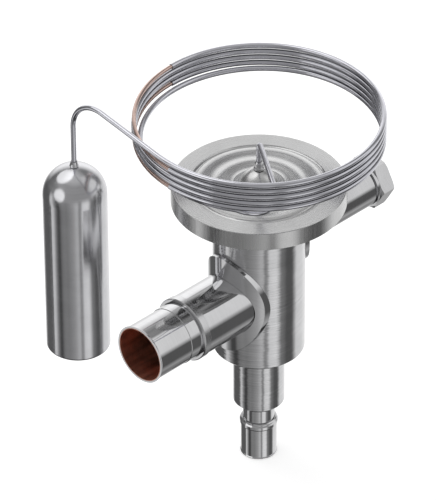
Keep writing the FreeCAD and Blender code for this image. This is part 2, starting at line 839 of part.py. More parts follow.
def make_spring_seat():
    """The threaded spring seat: a dished ring with two keys that run in the body's keyways."""
    foot = dim.seat_place
    thread_hole = dim.hub_radius + dim.running_gap
    ring = turned("spring_seat_ring", [
        (thread_hole, foot),
        (dim.spring_seat_radius, foot),
        (dim.spring_seat_radius, foot + dim.seat_thick),
        (thread_hole, foot + dim.seat_thick),
    ])
    reach = dim.body_bore + dim.keyway_depth - dim.key_gap
    bar = block("spring_seat_keys", dim.key_width, reach * 2, dim.seat_thick,
                (dim.key_width * -0.5, -reach, foot))
    opening = cylinder("spring_seat_opening", thread_hole, dim.seat_thick * 2,
                       (0, 0, foot - dim.seat_thick / 2))
    keys = combine("Cut", "spring_seat_key_pair", bar, opening)
    keep(combine("Fuse", "spring_seat", ring, keys))


def coil_spring(label, radius, wire, turns, foot, top):
    """A round spring whose first and last half turns lie flat."""
    steps = int(float(turns) * STEPS_IN_A_TURN / 2)
    low = float(foot) + float(wire)
    rise = float(top) - float(foot) - 2 * float(wire)
    points = []
    for step in range(steps + 1):
        angle = 2 * math.pi * float(turns) * step / steps
        along = (angle - math.pi) / (2 * math.pi * (float(turns) - 1))
        height = low + rise * min(max(along, 0.0), 1.0)
        points.append(Vector(float(radius) * math.cos(angle), float(radius) * math.sin(angle),
                             height))
    keep(feature(label, mitred_tube(points, float(wire), SPRING_SIDES)))


def make_valve_train():
    """Pin, pressure pad, orifice seat, cone, their springs and the strainer."""
    keep(turned("pressure_pad", [
        (0, dim.pad_top - dim.pad_thick),
        (dim.pad_radius - dim.pad_bevel, dim.pad_top - dim.pad_thick),
        (dim.pad_radius, dim.pad_top - dim.pad_thick + dim.pad_bevel),
        (dim.pad_radius, dim.pad_top - dim.pad_bevel),
        (dim.pad_radius - dim.pad_bevel, dim.pad_top),
        (0, dim.pad_top),
    ]))
    pin_top = dim.pad_top - dim.pad_thick
    seat_edge = dim.orifice_radius + dim.orifice_bevel
    cone_top = dim.seat_foot + seat_edge - dim.cone_tip - dim.seat_gap * math.sqrt(2)
    keep(cylinder("push_pin", dim.pin_radius, pin_top - cone_top, (0, 0, cone_top)))
    keep(turned("orifice_seat", [
        (seat_edge, dim.seat_foot),
        (dim.seat_radius, dim.seat_foot),
        (dim.seat_radius, dim.inlet_top),
        (seat_edge, dim.inlet_top),
        (dim.orifice_radius, dim.inlet_top - dim.orifice_bevel),
        (dim.orifice_radius, dim.seat_foot + dim.orifice_bevel),
    ]))
    cone_bottom = dim.cone_foot
    keep(turned("valve_cone", [
        (0, cone_bottom - dim.cone_stub_length),
        (dim.cone_stub, cone_bottom - dim.cone_stub_length),
        (dim.cone_stub, cone_bottom),
        (dim.cone_radius, cone_bottom),
        (dim.cone_radius, cone_top - dim.cone_radius + dim.cone_tip),
        (dim.cone_tip, cone_top),
        (0, cone_top),
    ]))
    cage_floor = dim.cage_foot + dim.cage_wall
    coil_spring("cone_spring", dim.cone_spring_radius, dim.cone_wire, dim.cone_turns,
                cage_floor + dim.seat_gap, dim.cone_foot - dim.seat_gap)
    cup = turned("strainer_cup", [
        (0, dim.cage_foot),
        (dim.cage_radius, dim.cage_foot),
        (dim.cage_radius, dim.cage_top),
        (dim.cage_radius - dim.cage_wall, dim.cage_top),
        (dim.cage_radius - dim.cage_wall, cage_floor),
        (0, cage_floor),
    ])
    slot_height = dim.cage_top - cage_floor - dim.cage_margin * 2
    slots = []
    for index in range(STRAINER_SLOTS):
        slot = block(f"strainer_slot_{index + 1}", dim.cage_radius * 4, dim.cage_slot,
                     slot_height, (dim.cage_radius * -2, dim.cage_slot * -0.5,
                                   cage_floor + dim.cage_margin))
        wheel = doc.addObject("Part::Compound", f"strainer_slot_turned_{index + 1}")
        wheel.Links = [slot]
        turn = 180 / STRAINER_SLOTS * (index + 0.5)
        wheel.Placement = Placement(Vector(), Rotation(Vector(0, 0, 1), turn))
        slots.append(wheel)
    keep(combine("Cut", "inlet_strainer", cup, *slots))
    coil_spring("superheat_spring", dim.superheat_radius, dim.superheat_wire,
                dim.superheat_turns, dim.seat_place + dim.seat_thick + dim.seat_gap,
                dim.pad_top - dim.pad_thick - dim.seat_gap)


def make_power_head():
    """Lower cover, diaphragm, corrugated upper cover and the collar on its dome."""
    neck = dim.body_radius + dim.braze_gap
    sheet = dim.head_sheet
    split = dim.head_split
    keep(turned("head_lower_cover", [
        (neck, dim.neck_foot),
        (neck + sheet, dim.neck_foot),
        (neck + sheet, dim.neck_foot + dim.neck_rim),
        (dim.chamber_radius, dim.head_foot),
        (dim.head_radius - dim.head_bevel, dim.head_foot),
        (dim.head_radius, dim.head_foot + dim.head_bevel),
        (dim.head_radius, split),
        (dim.chamber_radius, split),
        (dim.chamber_radius - sheet, split - sheet),
        (neck, dim.body_top),
    ]))
    pad = dim.pad_top + dim.seat_gap
    lift = split - pad
    wave_start = dim.pad_radius + dim.chamber_lip
    wave_end = dim.chamber_radius - dim.chamber_lip
    thick = dim.diaphragm_thick
    wave = (wave_end - wave_start) / 2
    keep(turned("diaphragm", [
        (0, pad),
        (wave_start, pad),
        (wave_start + wave, pad + lift, dim.diaphragm_bend),
        (wave_end, split, -dim.diaphragm_bend),
        (dim.head_radius, split),
        (dim.head_radius, split + thick),
        (wave_end, split + thick),
        (wave_start + wave, pad + lift + thick, dim.diaphragm_bend),
        (wave_start, pad + thick, -dim.diaphragm_bend),
        (0, pad + thick),
    ]))
    top = dim.head_top
    foot = split + thick
    dome = dim.dome_radius
    ceiling = top - sheet
    groove_out = dim.groove_radius + dim.groove_half
    groove_in = dim.groove_radius - dim.groove_half
    outline = [
        (dim.head_radius, foot),
        (dim.head_radius, top - dim.head_bevel),
        (dim.head_radius - dim.head_bevel, top),
        (groove_out, top),
        (groove_in, top, -dim.groove_bend),
    ]
    for index in range(4):
        sign = 1 if index % 2 == 0 else -1
        outline.append((groove_in - dim.wave_pitch * (index + 1), top, dim.wave_bend * sign))
    dome_rise = top - dim.dome_centre
    dome_foot = math.sqrt(float(dome) ** 2 - float(dome_rise) ** 2)
    inside = dome - sheet
    outline += [
        (Size(dome_foot, f"sqrt({dome.text} ^ 2 - {dome_rise.text} ^ 2)"), top),
        (dim.dome_hole, height_on_round(dome, dim.dome_hole), dome),
        (dim.dome_hole, height_on_round(inside, dim.dome_hole)),
        (radius_on_round(inside, ceiling), ceiling, -inside),
        (dim.chamber_radius - dim.chamber_slope, ceiling),
        (dim.chamber_radius, ceiling - dim.chamber_drop),
        (dim.chamber_radius, foot),
    ]
    keep(turned("head_upper_cover", outline))

    collar_foot = height_on_round(dome, dim.dome_hole) + dim.collar_lift
    collar_top = collar_foot + dim.collar_height
    bore = dim.line_radius + dim.braze_gap
    spigot = dim.dome_hole - dim.braze_gap
    keep(turned("line_collar", [
        (bore, collar_foot - dim.collar_root),
        (spigot, collar_foot - dim.collar_root),
        (spigot, collar_foot),
        (spigot + dim.collar_flange, collar_foot),
        (spigot + dim.collar_flange, collar_foot + dim.collar_flange_thick),
        (spigot, collar_foot + dim.collar_flange_thick * 1.5),
        (spigot, collar_top - dim.collar_flange_thick),
        (bore + dim.collar_tip, collar_top),
        (bore, collar_top),
    ]))


def height_on_round(radius, out):
    """Height of the dome's round at a distance from the axis."""
    value = float(dim.dome_centre) + math.sqrt(float(radius) ** 2 - float(out) ** 2)
    return Size(value, f"({dim.dome_centre.text} + sqrt({radius.text} ^ 2 - {out.text} ^ 2))")


def radius_on_round(radius, height):
    """Distance from the axis of the dome's round at a height."""
    below = dim.dome_centre - height
    value = math.sqrt(float(radius) ** 2 - float(below) ** 2)
    return Size(value, f"sqrt({radius.text} ^ 2 - {below.text} ^ 2)")


def coil_point(step):
    """A point of the coil: it goes down by one pitch in each turn, on a slightly tilted ring.

    The end of the last turn is drawn in, and lifted for a while, on its way to the head.
    """
    angle = 2 * math.pi * step / STEPS_IN_A_TURN
    tilt = float(dim.coil_tilt) * math.cos(angle - math.pi / 4)
    height = float(dim.coil_top) - float(dim.coil_pitch) * step / STEPS_IN_A_TURN - tilt
    radius = float(dim.coil_radius)
    past = max(step - INSET_FIRST_STEP, 0)
    share = min(past / INSET_STEPS, 1)
    radius -= float(dim.tail_inset) * share * share * (3 - 2 * share)
    rising = min(past / (FULL_COIL_STEPS - INSET_FIRST_STEP), 1)
    height += float(dim.tail_lift) * math.sin(math.pi * rising)
    return Vector(radius * math.cos(angle), radius * math.sin(angle), height)


def lead_points():
    """From the bulb straight up, over the hook, and gently down to the start of the coil."""
    reach = float(dim.coil_radius)
    blend = float(dim.lead_blend)
    slope = float(dim.lead_slope)
    hook = float(dim.hook_radius)
    offset = float(dim.bulb_offset)
    entry = coil_point(0)
    blend_start = Vector(reach, -blend, entry.z + slope * blend / 2)
    fall = math.atan(slope)
    hook_end_y = -offset + hook + hook * math.sin(fall)
    hook_end_z = blend_start.z + slope * (-blend - hook_end_y)
    hook_start_z = hook_end_z - hook * math.cos(fall)
    points = [Vector(reach, -offset, float(dim.bulb_top) + float(dim.seat_gap))]
    bends = 9
    for step in range(bends + 1):
        angle = (math.pi / 2 + fall) * step / bends
        points.append(Vector(reach, -offset + hook - hook * math.cos(angle),
                             hook_start_z + hook * math.sin(angle)))
    points.append(blend_start)
    for share in (0.35, 0.7):
        y = -blend * (1 - share)
        points.append(Vector(reach, y, entry.z + slope * blend / 2 * (1 - share) ** 2))
    return points


def tail_points():
    """From the end of the coil inwards to the elbow above the head, and down to the dome."""
    last = coil_point(FULL_COIL_STEPS)
    bend = float(dim.tail_bend)
    reach = math.hypot(last.x, last.y)
    start = math.atan2(last.y, last.x)
    centre = Vector(math.cos(start), math.sin(start), 0) * (reach - bend)
    sweep = math.pi / 2 + math.asin(bend / (reach - bend))
    elbow = float(dim.elbow_radius)
    level = float(dim.elbow_height)
    flat = []
    bends = 8
    for step in range(1, bends + 1):
        angle = start + sweep * step / bends
        flat.append(centre + Vector(math.cos(angle), math.sin(angle), 0) * bend)
    inward = Vector(flat[-1].x, flat[-1].y, 0).normalize()
    flat.append(inward * elbow)
    walked = [0.0]
    for before, after in zip([Vector(last.x, last.y, 0), *flat], flat):
        walked.append(walked[-1] + (after - before).Length)
    points = []
    for spot, way in zip(flat, walked[1:]):
        share = way / walked[-1]
        sag = float(dim.tail_sag) * math.sin(math.pi * min(share / SAG_SHARE, 1))
        height = last.z + (level - last.z) * share - sag
        points.append(Vector(spot.x, spot.y, height))
    elbow_bends = 4
    for step in range(1, elbow_bends + 1):
        angle = math.pi / 2 * step / elbow_bends
        points.append(inward * (elbow - elbow * math.sin(angle))
                      + Vector(0, 0, level - elbow + elbow * math.cos(angle)))
    points.append(Vector(0, 0, float(dim.line_foot)))
    return points


def make_line():
    """The sensing line: steel tube, with two quarter turns where its copper core is bare."""
    quarter = STEPS_IN_A_TURN // 4
    cuts = [3 * quarter, 4 * quarter, 15 * quarter, 16 * quarter]
    steel = float(dim.line_radius)
    spans = {
        "line_lead": (lead_points() + [coil_point(step) for step in range(cuts[0] + 1)], steel),
        "line_middle": ([coil_point(step) for step in range(cuts[1], cuts[2] + 1)], steel),
        "line_tail": ([coil_point(step) for step in range(cuts[3], FULL_COIL_STEPS + 1)]
                      + tail_points(), steel),
    }
    open_ends = {
        "line_lead": [(cuts[0], cuts[0] - 1)],
        "line_middle": [(cuts[1], cuts[1] + 1), (cuts[2], cuts[2] - 1)],
        "line_tail": [(cuts[3], cuts[3] + 1)],
    }
    depth = float(dim.core_seat) + float(dim.seat_gap)
    for label, (points, radius) in spans.items():
        tube = mitred_tube(points, radius, LINE_SIDES)
        for mouth, inside in open_ends[label]:
            inward = (coil_point(inside) - coil_point(mouth)).normalize()
            start = coil_point(mouth) - inward * 0.5
            tube = tube.cut(Part.makeCylinder(float(dim.core_bore), depth + 0.5, start, inward))
        keep(feature(label, tube))
    for label, first, last in (("line_core_upper", cuts[0], cuts[1]),
                               ("line_core_lower", cuts[2], cuts[3])):
        points = [coil_point(step) for step in range(first, last + 1)]
        before = (coil_point(first - 1) - points[0]).normalize() * float(dim.core_seat)
        after = (coil_point(last + 1) - points[-1]).normalize() * float(dim.core_seat)
        points = [points[0] + before, *points, points[-1] + after]
        keep(feature(label, mitred_tube(points, float(dim.core_radius), LINE_SIDES)))


def make_bulb():
    """The sealed bulb with its round top, and the ferrule that holds the line in it."""
    spot = (dim.coil_radius, -dim.bulb_offset, dim.bulb_foot)
    shoulder = dim.bulb_top - dim.bulb_foot - dim.bulb_radius
    keep(turned("bulb", [
        (0, 0),
        (dim.bulb_radius - dim.bulb_round, 0),
        (dim.bulb_radius, dim.bulb_round, dim.bulb_round),
        (dim.bulb_radius, shoulder),
        (0, shoulder + dim.bulb_radius, dim.bulb_radius),
    ], spot))
    bore = dim.line_radius + dim.braze_gap
    foot = dim.seat_gap + dim.ferrule_sink
    keep(turned("bulb_ferrule", [
        (bore, foot),
        (dim.ferrule_radius - dim.ferrule_edge, foot),
        (dim.ferrule_radius, foot + dim.ferrule_edge * 2),
        (bore + dim.ferrule_edge * 2, dim.ferrule_height * 0.6),
        (bore + dim.ferrule_edge, dim.ferrule_height),
        (bore, dim.ferrule_height),
    ], (dim.coil_radius, -dim.bulb_offset, dim.bulb_top - dim.ferrule_sink)))


def write_pieces():
    """Check every object, then write each piece to its own file."""
    doc.recompute()
    for thing in doc.Objects:
        if {"Invalid", "Error"} & set(thing.State):
            raise RuntimeError(f"{thing.Label} could not be built: {thing.State}")
    os.makedirs("parts", exist_ok=True)
    for piece in nodes:
        shape = piece.Shape
        if shape.isNull() or not shape.isValid():
            raise RuntimeError(f"{piece.Label} has no sound shape")
        shape.exportStep(f"parts/{piece.Label}.step")
        print(f"{piece.Label}: {len(shape.Solids)} solid, {shape.Volume:.1f} mm3")


make_body()
make_inlet()
make_outlet()
make_spindle_side()
make_cap()
make_guide_and_gear()
make_spring_seat()
make_valve_train()
make_power_head()
make_line()
make_bulb()
write_pieces()
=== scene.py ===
# %% [markdown]
# # A refrigerant expansion valve, dressed for a studio picture
# The solids of this valve come ready made: a body with two solder sockets, a
# diaphragm head, a capped spindle, a bulb and the coiled line that joins bulb
# and head. This lesson adds what a solid model lacks: a line drawn as truly
# round tube, springs cut into stretches of their own, and metal that shows how
# each piece was turned, pressed or drawn.

import math

import bmesh
import bpy
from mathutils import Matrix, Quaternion, Vector


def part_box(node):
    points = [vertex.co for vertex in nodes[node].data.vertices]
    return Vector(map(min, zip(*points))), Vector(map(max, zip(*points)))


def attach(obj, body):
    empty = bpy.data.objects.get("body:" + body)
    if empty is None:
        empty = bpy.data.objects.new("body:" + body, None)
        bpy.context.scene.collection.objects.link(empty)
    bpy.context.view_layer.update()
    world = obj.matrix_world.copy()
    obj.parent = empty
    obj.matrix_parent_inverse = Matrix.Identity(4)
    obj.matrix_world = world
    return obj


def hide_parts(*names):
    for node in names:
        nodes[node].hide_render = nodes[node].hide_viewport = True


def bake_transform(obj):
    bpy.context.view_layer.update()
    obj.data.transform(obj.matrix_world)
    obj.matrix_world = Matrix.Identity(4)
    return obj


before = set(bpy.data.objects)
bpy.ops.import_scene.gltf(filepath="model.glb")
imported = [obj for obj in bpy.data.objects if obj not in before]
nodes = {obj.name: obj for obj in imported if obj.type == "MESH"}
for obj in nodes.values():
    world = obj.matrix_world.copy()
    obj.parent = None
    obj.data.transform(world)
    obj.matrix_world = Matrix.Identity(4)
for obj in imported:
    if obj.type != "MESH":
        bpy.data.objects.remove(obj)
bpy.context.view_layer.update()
scene = bpy.context.scene
MM = 0.001
MICRON = 0.000001
print("nodes:", len(nodes))

# %% [markdown]
# ## The camera first
# The picture is taken from high on the outlet's left, with a long lens from
# far away, so that parallel edges stay nearly parallel. A camera is placed by
# two angles and a distance; it looks past the middle of the valve by a few
# millimetres, which frames the valve without any lens shift, and is rolled by
# a third of a degree.

# %% Place the camera
AZIMUTH = math.radians(134.67)
ELEVATION = math.radians(35.61)
ROLL = math.radians(-0.3)
DISTANCE = 1.426
LENS = 358.8
SENSOR_HEIGHT = 36
FAR_CLIP = 20
AIM_LEFT = 11.7 * MM
AIM_UP = 9.0 * MM
MIDDLE = Vector((0, 0, 60 * MM))


def way_to(azimuth, rise):
    """The unit vector from the valve's middle towards two angles."""
    return Vector((
        math.sin(azimuth) * math.cos(rise),
        -math.cos(azimuth) * math.cos(rise),
        math.sin(rise),
    ))


toward_camera = way_to(AZIMUTH, ELEVATION)
camera_right = Vector((math.cos(AZIMUTH), math.sin(AZIMUTH), 0))
camera_up = toward_camera.cross(camera_right)
aim = MIDDLE - camera_right * AIM_LEFT + camera_up * AIM_UP
camera_data = bpy.data.cameras.new("studio_camera")
camera_data.sensor_fit = "VERTICAL"
camera_data.sensor_height = SENSOR_HEIGHT
camera_data.lens = LENS
camera_data.clip_end = FAR_CLIP
camera = bpy.data.objects.new("studio_camera", camera_data)
camera.location = MIDDLE + toward_camera * DISTANCE
facing = (aim - camera.location).to_track_quat("-Z", "Y")
camera.rotation_euler = (facing @ Quaternion((0, 0, 1), ROLL)).to_euler()
scene.collection.objects.link(camera)
scene.camera = camera
print("camera at", [round(v, 3) for v in camera.location])

# %% [markdown]
# ## Round tube from a path
# A drawn tube has the same circle all along its length. It could be extruded
# ring by ring, but a curve with a bevel does the same and keeps every ring
# square to the path. The curve is then turned into a mesh, so that the piece
# ends up like any other, with its place in its mesh and its object at zero.
# Where an end is open, its cap is set in by the tube's wall and pushed down.

# %% A mesh along a path
BEVEL_STEPS = 5


def tube_mesh(name, path, radius):
    """The mesh of a closed round tube along a path."""
    curve = bpy.data.curves.new(name + "_path", "CURVE")
    curve.dimensions = "3D"
    curve.bevel_depth = radius
    curve.bevel_resolution = BEVEL_STEPS
    curve.use_fill_caps = True
    spline = curve.splines.new("POLY")
    spline.points.add(len(path) - 1)
    for point, spot in zip(spline.points, path):
        point.co = (*spot, 1)
    holder = bpy.data.objects.new(name + "_path", curve)
    scene.collection.objects.link(holder)
    settled = holder.evaluated_get(bpy.context.evaluated_depsgraph_get())
    mesh = bpy.data.meshes.new_from_object(settled)
    bpy.data.objects.remove(holder)
    return mesh


print("bevel steps in a quarter circle:", BEVEL_STEPS)

# %% A helper for round tube
WELD_SHARE = 1 / 200
CAP_REACH = 1.2
MOUTH_WALL = 0.1 * MM
MOUTH_DEPTH = 1.55 * MM
MOUTH_SLOPE_SHARE = 1 / 100
SHARP_ANGLE = math.radians(40)


def open_mouth(shape, end, radius):
    """Set the cap at one end of a tube in and down, as if the tube were hollow."""
    cap = [face for face in shape.faces if len(face.verts) == 3
           and (face.calc_center_median() - end).length < radius * CAP_REACH]
    bmesh.ops.inset_region(shape, faces=cap, thickness=MOUTH_WALL)
    bmesh.ops.inset_region(
        shape, faces=cap, thickness=radius * MOUTH_SLOPE_SHARE, depth=-MOUTH_DEPTH)


def round_tube(name, path, radius, mouths=()):
    """A closed round tube along a path; mouths are the ends where it looks open."""
    mesh = tube_mesh(name, path, radius)
    shape = bmesh.new()
    shape.from_mesh(mesh)
    bmesh.ops.remove_doubles(shape, verts=shape.verts, dist=radius * WELD_SHARE)
    bmesh.ops.recalc_face_normals(shape, faces=shape.faces)
    for end in mouths:
        open_mouth(shape, path[end], radius)
    shape.to_mesh(mesh)
    shape.free()
    mesh.shade_smooth()
    mesh.set_sharp_from_angle(angle=SHARP_ANGLE)
    mesh.name = name
    tube = bpy.data.objects.new(name, mesh)
    scene.collection.objects.link(tube)
    print(name, len(mesh.polygons), "faces")
    return tube


print("an open end is", round(MOUTH_DEPTH / MM, 2), "mm deep")

# %% [markdown]
# ## The sensing line
# On the real valve a thin steel tube leaves the bulb, bends over in a hook,
# runs down into five slack turns and drops through the middle of the coil
# into the head. The turns lie a little apart and the whole coil is tipped by
# a degree. Two quarter turns on the left have no steel, and there the copper
# inside shows. The coil is one formula: a circle that sinks and tilts, and
# that draws in gently where the tail begins.

# %% The coil's own measures
COIL_RADIUS = 35 * MM
COIL_TOP = 118.26 * MM
COIL_PITCH = 1.92 * MM
COIL_TILT = 0.74 * MM
TILT_ANGLE = math.pi / 4
LINE_RADIUS = 0.78 * MM
CORE_RADIUS = 0.6 * MM
FULL_TURNS = 163 / 32
INSET_FIRST = 143 / 32
INSET_TURNS = 8 / 32
TAIL_INSET = 1.68 * MM
TAIL_LIFT = 0.86 * MM
STEPS_PER_TURN = 96


def coil_spot(turn):
    """Where the line's centre is after that many turns from the lead."""
    angle = 2 * math.pi * turn
    height = COIL_TOP - COIL_PITCH * turn - COIL_TILT * math.cos(angle - TILT_ANGLE)
    past = max(turn - INSET_FIRST, 0)
    inset = min(past / INSET_TURNS, 1)
    radius = COIL_RADIUS - TAIL_INSET * inset * inset * (3 - 2 * inset)
    lift = min(past / (FULL_TURNS - INSET_FIRST), 1)
    height += TAIL_LIFT * math.sin(math.pi * lift)
    return Vector((radius * math.cos(angle), radius * math.sin(angle), height))


def coil_stretch(first, last):
    """The path of the coil from one turn to another, finely stepped."""
    steps = round((last - first) * STEPS_PER_TURN)
    return [coil_spot(first + (last - first) * step / steps)
            for step in range(steps + 1)]


print("coil length:", round(2 * math.pi * COIL_RADIUS * FULL_TURNS, 3), "m")

# %% [markdown]
# ### From the bulb over the hook
# The hook is one smooth bend. A vertex could be spun round the bend's centre,
# and the same circle can be written as sine and cosine, which keeps the run
# down to the coil in one list with it. The last few millimetres level out so
# that the straight run meets the first turn without a corner.

# %% The lead from bulb to coil
BULB_OFFSET = 38.7 * MM
FERRULE_FOOT = 98.5 * MM
HOOK_RADIUS = 10.07 * MM
HOOK_STEPS = 28
LEAD_SLOPE = 0.164
LEAD_BLEND = 6 * MM
BLEND_STEPS = 8


def lead_path():
    """Straight up out of the bulb, over the hook, and gently down to the coil."""
    entry = coil_spot(0)
    fall = math.atan(LEAD_SLOPE)
    blend_drop = LEAD_SLOPE * LEAD_BLEND / 2
    hook_end_y = -BULB_OFFSET + HOOK_RADIUS * (1 + math.sin(fall))
    hook_end_z = entry.z + blend_drop + LEAD_SLOPE * (-LEAD_BLEND - hook_end_y)
    centre_z = hook_end_z - HOOK_RADIUS * math.cos(fall)
    path = [Vector((COIL_RADIUS, -BULB_OFFSET, FERRULE_FOOT))]
    for step in range(HOOK_STEPS + 1):
        angle = (math.pi / 2 + fall) * step / HOOK_STEPS
        path.append(Vector((
            COIL_RADIUS,
            -BULB_OFFSET + HOOK_RADIUS * (1 - math.cos(angle)),
            centre_z + HOOK_RADIUS * math.sin(angle),
        )))
    for step in range(BLEND_STEPS):
        left = 1 - step / BLEND_STEPS
        path.append(Vector((
            COIL_RADIUS, -LEAD_BLEND * left, entry.z + blend_drop * left ** 2)))
    return path


print("lead points:", len(lead_path()))

# %% [markdown]
# ### Down through the middle
# The tail leaves the last turn in an inward bend, runs to the middle with a
# slight sag and turns down into the collar on top of the head. It uses the
# same sines and cosines, with the height shared out evenly along the way.

# %% The tail from coil to head
TAIL_BEND = 9.48 * MM
TAIL_STEPS = 24
TAIL_SAG = 2.7 * MM
SAG_SHARE = 0.7
ELBOW_RADIUS = 2.2 * MM
ELBOW_HEIGHT = 108.1 * MM
ELBOW_STEPS = 12
LINE_FOOT = 99 * MM


def tail_plan():
    """The tail seen from above, from the coil's end to where the elbow begins."""
    last = coil_spot(FULL_TURNS)
    start = math.atan2(last.y, last.x)
    reach = math.hypot(last.x, last.y) - TAIL_BEND
    centre = Vector((math.cos(start), math.sin(start), 0)) * reach
    sweep = math.pi / 2 + math.asin(TAIL_BEND / reach)
    plan = []
    for step in range(1, TAIL_STEPS + 1):
        angle = start + sweep * step / TAIL_STEPS
        plan.append(centre + Vector((math.cos(angle), math.sin(angle), 0)) * TAIL_BEND)
    plan.append(plan[-1].normalized() * ELBOW_RADIUS)
    return plan


def tail_path():
    """From the coil's end inwards, over the elbow and down to the head."""
    last = coil_spot(FULL_TURNS)
    plan = tail_plan()
    walked = [0]
    for before, after in zip([Vector((last.x, last.y, 0)), *plan], plan):
        walked.append(walked[-1] + (after - before).length)
    path = []
    for spot, way in zip(plan, walked[1:]):
        done = way / walked[-1]
        sag = TAIL_SAG * math.sin(math.pi * min(done / SAG_SHARE, 1))
        height = last.z + (ELBOW_HEIGHT - last.z) * done - sag
        path.append(Vector((spot.x, spot.y, height)))
    for step in range(1, ELBOW_STEPS + 1):
        angle = math.pi / 2 * step / ELBOW_STEPS
        fall = ELBOW_RADIUS * (1 - math.cos(angle))
        path.append(plan[-1] * (1 - math.sin(angle))
                    + Vector((0, 0, ELBOW_HEIGHT - fall)))
    path.append(Vector((0, 0, LINE_FOOT)))
    return path


print("tail points:", len(tail_path()))

# %% [markdown]
# ### Five pieces of line
# Each stretch of steel and each bare stretch of copper is a piece of its own,
# as in the solids, and stands for the solid it covers. The copper reaches a
# little way into the steel at both ends, so that no gap can show.

# %% Draw the line's five pieces
VALVE = "valve"
CORE_SEAT = 1.5 * MM
UPPER_BARE = (0.75, 1)
LOWER_BARE = (3.75, 4)
FIRST = 0
LAST = -1


def core_stretch(first, last):
    """The path of a bare stretch, with its two ends hidden in the steel."""
    overlap = CORE_SEAT / (2 * math.pi * COIL_RADIUS)
    return coil_stretch(first - overlap, last + overlap)


line_parts = {
    "sensing_line_lead": (lead_path() + coil_stretch(0, UPPER_BARE[0]),
                          LINE_RADIUS, "line_lead", (LAST,)),
    "sensing_line_middle": (coil_stretch(UPPER_BARE[1], LOWER_BARE[0]),
                            LINE_RADIUS, "line_middle", (FIRST, LAST)),
    "sensing_line_tail": (coil_stretch(LOWER_BARE[1], FULL_TURNS) + tail_path(),
                          LINE_RADIUS, "line_tail", (FIRST,)),
    "bare_core_upper": (core_stretch(*UPPER_BARE), CORE_RADIUS, "line_core_upper", ()),
    "bare_core_lower": (core_stretch(*LOWER_BARE), CORE_RADIUS, "line_core_lower", ()),
}
line_pieces = {}
for piece_name, (path, radius, replaced, mouths) in line_parts.items():
    piece = round_tube(piece_name, path, radius, mouths=mouths)
    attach(piece, VALVE)
    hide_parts(replaced)
    line_pieces[piece_name] = piece

# %% [markdown]
# ## Springs cut into stretches
# Two springs inside the body are pressed together as the valve moves. The
# large spring stands between two moving bodies, and its middle stays still, so
# it is cut there into two halves; the cone spring stays whole. Each stretch
# becomes a piece of its own, with its cut ends filled.

# %% Cut one stretch of a spring
SPRING_WELD = 0.1 * MICRON
SPRING_ROOM = 0.01 * MM


def spring_stretch(name, node_name, low, high):
    """A spring's coils between two heights, as a piece of its own."""
    shape = bmesh.new()
    shape.from_mesh(nodes[node_name].data)
    bmesh.ops.remove_doubles(shape, verts=shape.verts, dist=SPRING_WELD)
    for height, way in ((low, -1), (high, 1)):
        cut = bmesh.ops.bisect_plane(
            shape, geom=[*shape.verts, *shape.edges, *shape.faces],
            plane_co=(0, 0, height), plane_no=(0, 0, way), clear_outer=True)
        rim = [part for part in cut["geom_cut"] if isinstance(part, bmesh.types.BMEdge)]
        if rim:
            bmesh.ops.edgeloop_fill(shape, edges=rim)
    bmesh.ops.recalc_face_normals(shape, faces=shape.faces)
    mesh = bpy.data.meshes.new(name)
    shape.to_mesh(mesh)
    shape.free()
    stretch = bpy.data.objects.new(name, mesh)
    scene.collection.objects.link(stretch)
    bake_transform(stretch)
    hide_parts(node_name)
    print(name, len(mesh.polygons), "faces")
    return stretch


print("room past a spring's ends:", round(SPRING_ROOM / MM, 2), "mm")

# %% Springs between the bodies
cone_low, cone_high = [corner[2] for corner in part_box("cone_spring")]
main_low, main_high = [corner[2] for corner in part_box("superheat_spring")]
main_middle = (main_low + main_high) / 2
springs = [
    spring_stretch("cone_return_spring", "cone_spring", cone_low - SPRING_ROOM,
                   cone_high + SPRING_ROOM),
    spring_stretch("main_spring_lower", "superheat_spring", main_low - SPRING_ROOM,
                   main_middle),
    spring_stretch("main_spring_upper", "superheat_spring", main_middle,
                   main_high + SPRING_ROOM),
]

# %% [markdown]
# ## Marks left by the lathe
# Turned metal carries fine rings round the axis it was turned on. A picture
# texture would need unwrapping; a noise texture needs only a clever choice
# of coordinates. Here the distance along and away from the axis counts for
# far more than the way round it, so each speck is drawn out into a ring.

# %% Helpers that wire nodes
def add(tree, kind, inputs=None, **settings):
    """A node of that kind, with its settings, and its inputs set or linked."""
    node = tree.nodes.new(kind)
    for key, value in settings.items():
        setattr(node, key, value)
    for key, value in (inputs or {}).items():
        if isinstance(value, bpy.types.NodeSocket):
            tree.links.new(value, node.inputs[key])
        else:
            node.inputs[key].default_value = value
    return node


def maths(tree, operation, *values):
    """The number that a Math node makes."""
    return add(tree, "ShaderNodeMath", dict(enumerate(values)),
               operation=operation).outputs[0]


def vector_maths(tree, operation, *values, result="Vector"):
    """What a Vector Math node makes: a vector, or a number if the result is Value."""
    return add(tree, "ShaderNodeVectorMath", dict(enumerate(values)),
               operation=operation).outputs[result]


def scaled(tree, vector, factor):
    """A vector made longer or shorter."""
    return add(tree, "ShaderNodeVectorMath", {0: vector, "Scale": factor},
               operation="SCALE").outputs[0]


print("node helpers ready")

# %% Coordinates and noise
AXES = {"Z": ("X", "Y", "Z"), "X": ("Y", "Z", "X"), "Y": ("Z", "X", "Y")}
RING_SLANT = 1.31
NOISE_LOW, NOISE_HIGH = 0.3, 0.7


def parts_of(tree, axis, centre):
    """Two coordinates across an axis and the one along it, counted from the centre."""
    spot = add(tree, "ShaderNodeTexCoord").outputs["Object"]
    moved = vector_maths(tree, "SUBTRACT", spot, centre)
    parts = add(tree, "ShaderNodeSeparateXYZ", {0: moved}).outputs
    return [parts[name] for name in AXES[axis]]


